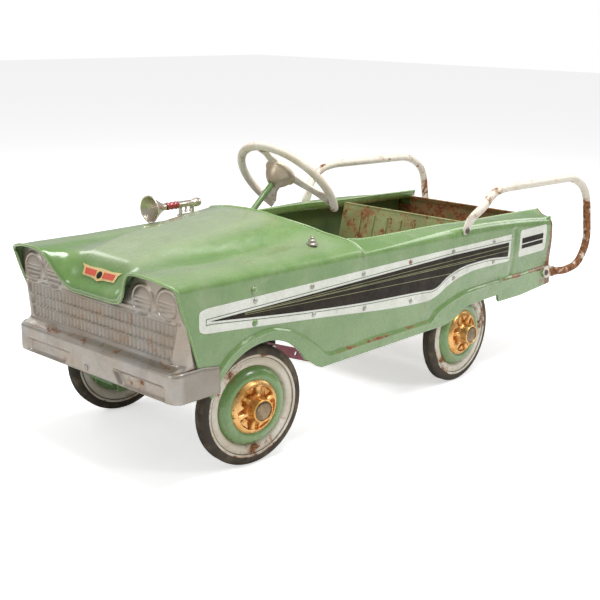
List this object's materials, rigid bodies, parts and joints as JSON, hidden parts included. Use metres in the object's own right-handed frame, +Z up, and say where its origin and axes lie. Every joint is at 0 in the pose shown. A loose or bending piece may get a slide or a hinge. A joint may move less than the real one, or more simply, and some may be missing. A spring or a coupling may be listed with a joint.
{
  "type": "pedal car",
  "caption": "Child-size pressed-steel pedal car, station wagon style, with grab rails, crank-and-rod pedal drive, tie-rod steering and a bolt-on horn.",
  "frame": {"origin": "Middle of the car's footprint on the ground, under the middle of its overall length and width.", "axes": "+X forward, +Y the car's left, +Z up."},
  "size_m": [1.2337, 0.466, 0.4964],
  "materials": {
    "green_enamel": "worn semi-gloss green enamel on pressed steel, faded and spotted with rust",
    "green_inside": "darker green enamel inside, rusting",
    "silver_paint": "aluminium paint over pressed steel, rust blotches",
    "cream_paint": "cream enamel with rust",
    "maroon_paint": "maroon enamel",
    "black_steel": "dark painted and oiled steel",
    "bare_steel": "dull steel with light rust",
    "worn_chrome": "chrome plating breaking through to orange rust",
    "tyre_rubber": "hard black rubber, matt",
    "pedal_rubber": "ribbed black rubber",
    "red_paint": "glossy red lacquer",
    "horn_plate": "dulled bright plating"
  },
  "bodies": {
    "root": {"hood": "green_enamel", "left_side_panel": "green_enamel", "right_side_panel": "green_enamel", "top_rails": "green_enamel", "grille_bumper": "silver_paint", "seat_pan": "green_inside", "seat_back": "green_inside", "cargo_floor": "green_inside", "tailgate": "green_enamel", "front_axle_beam": "black_steel", "kingpins": "bare_steel", "undercarriage": "black_steel", "fender_brackets": "black_steel", "column_brackets": "black_steel", "hanger_bracket": "black_steel", "rear_axle_brackets": "black_steel", "rear_bearings": "bare_steel", "left_luggage_rail": "cream_paint", "right_luggage_rail": "cream_paint", "rail_bolts": "bare_steel", "horn_bell": "horn_plate", "horn_neck": "red_paint", "horn_barrel": "horn_plate", "horn_bracket": "horn_plate", "body_fasteners": "green_enamel"},
    "steering": {"steering_column": "green_enamel", "steering_wheel": "cream_paint", "steering_bell": "cream_paint", "steering_nut": "bare_steel"},
    "left_spindle": {"left_spindle": "black_steel", "front_left_nut": "bare_steel"},
    "right_spindle": {"right_spindle": "black_steel", "front_right_nut": "bare_steel"},
    "tie_rod": {"tie_rod": "black_steel"},
    "front_left_wheel": {"front_left_tyre": "tyre_rubber", "front_left_wheel_disc": "green_enamel", "front_left_wheel_bearing": "bare_steel", "front_left_hubcap": "worn_chrome"},
    "front_right_wheel": {"front_right_tyre": "tyre_rubber", "front_right_wheel_disc": "green_enamel", "front_right_wheel_bearing": "bare_steel", "front_right_hubcap": "worn_chrome"},
    "rear_axle": {"crank_axle": "bare_steel", "rear_nuts": "bare_steel", "rear_left_tyre": "tyre_rubber", "rear_left_wheel_disc": "green_enamel", "rear_left_wheel_bearing": "bare_steel", "rear_left_hubcap": "worn_chrome"},
    "rear_right_wheel": {"rear_right_tyre": "tyre_rubber", "rear_right_wheel_disc": "green_enamel", "rear_right_wheel_bearing": "bare_steel", "rear_right_hubcap": "worn_chrome"},
    "left_pedal_rod": {"left_pedal_rod": "maroon_paint", "left_pedal_bolt": "bare_steel"},
    "left_pedal": {"left_pedal": "pedal_rubber"},
    "left_hanger": {"left_hanger": "maroon_paint"},
    "right_pedal_rod": {"right_pedal_rod": "maroon_paint", "right_pedal_bolt": "bare_steel"},
    "right_pedal": {"right_pedal": "pedal_rubber"},
    "right_hanger": {"right_hanger": "maroon_paint"}
  },
  "joints": [
    {"name": "steer", "type": "hinge", "parent": "root", "child": "steering", "pos_m": [0.24238, 0, 0.374], "axis": [-0.7581, 0, 0.6521], "range_deg": [-11.2, 24.5]},
    {"name": "left_kingpin", "type": "hinge", "parent": "root", "child": "left_spindle", "pos_m": [0.41838, 0.14, 0.1016], "axis": [0, 0, 1], "range_deg": [-14, 30.4]},
    {"name": "right_kingpin", "type": "hinge", "parent": "root", "child": "right_spindle", "pos_m": [0.41838, -0.14, 0.1016], "axis": [0, 0, 1], "range_deg": [-14, 30.4]},
    {"name": "tie_rod_pin", "type": "hinge", "parent": "left_spindle", "child": "tie_rod", "pos_m": [0.3491, 0.14998, 0.17], "axis": [0, 0, 1], "range_deg": [-30.4, 14]},
    {"name": "front_left_roll", "type": "hinge", "parent": "left_spindle", "child": "front_left_wheel", "pos_m": [0.42408, 0.17959, 0.1016], "axis": [0.1426, 0.9898, 0], "continuous": true},
    {"name": "front_right_roll", "type": "hinge", "parent": "right_spindle", "child": "front_right_wheel", "pos_m": [0.41268, -0.17959, 0.1016], "axis": [0.1426, 0.9898, 0], "continuous": true},
    {"name": "drive", "type": "hinge", "parent": "root", "child": "rear_axle", "pos_m": [-0.16712, 0, 0.1016], "axis": [0, 1, 0], "continuous": true},
    {"name": "rear_right_roll", "type": "hinge", "parent": "rear_axle", "child": "rear_right_wheel", "pos_m": [-0.16712, -0.175, 0.1016], "axis": [0, 1, 0], "continuous": true},
    {"name": "left_crank_pin", "type": "hinge", "parent": "rear_axle", "child": "left_pedal_rod", "pos_m": [-0.13512, 0.095, 0.1016], "axis": [0, 1, 0], "continuous": true},
    {"name": "left_pedal_turn", "type": "hinge", "parent": "left_pedal_rod", "child": "left_pedal", "pos_m": [0.28488, 0.095, 0.14633], "axis": [0, 1, 0], "continuous": true},
    {"name": "left_hanger_swing", "type": "hinge", "parent": "root", "child": "left_hanger", "pos_m": [0.28088, 0.1, 0.29289], "axis": [0, 1, 0], "range_deg": [0, 26.4]},
    {"name": "right_crank_pin", "type": "hinge", "parent": "rear_axle", "child": "right_pedal_rod", "pos_m": [-0.19912, -0.095, 0.1016], "axis": [0, 1, 0], "continuous": true},
    {"name": "right_pedal_turn", "type": "hinge", "parent": "right_pedal_rod", "child": "right_pedal", "pos_m": [0.22088, -0.095, 0.14633], "axis": [0, 1, 0], "continuous": true},
    {"name": "right_hanger_swing", "type": "hinge", "parent": "root", "child": "right_hanger", "pos_m": [0.28088, -0.1, 0.29289], "axis": [0, 1, 0], "range_deg": [-26.4, 0]}
  ],
  "couplings": [
    {"joint": "left_kingpin", "follows": "steer", "ratio": 1.2328},
    {"joint": "right_kingpin", "follows": "steer", "ratio": 1.2328},
    {"joint": "tie_rod_pin", "follows": "steer", "ratio": -1.2328},
    {"joint": "left_crank_pin", "follows": "drive", "ratio": -1},
    {"joint": "right_crank_pin", "follows": "drive", "ratio": -1}
  ]
}
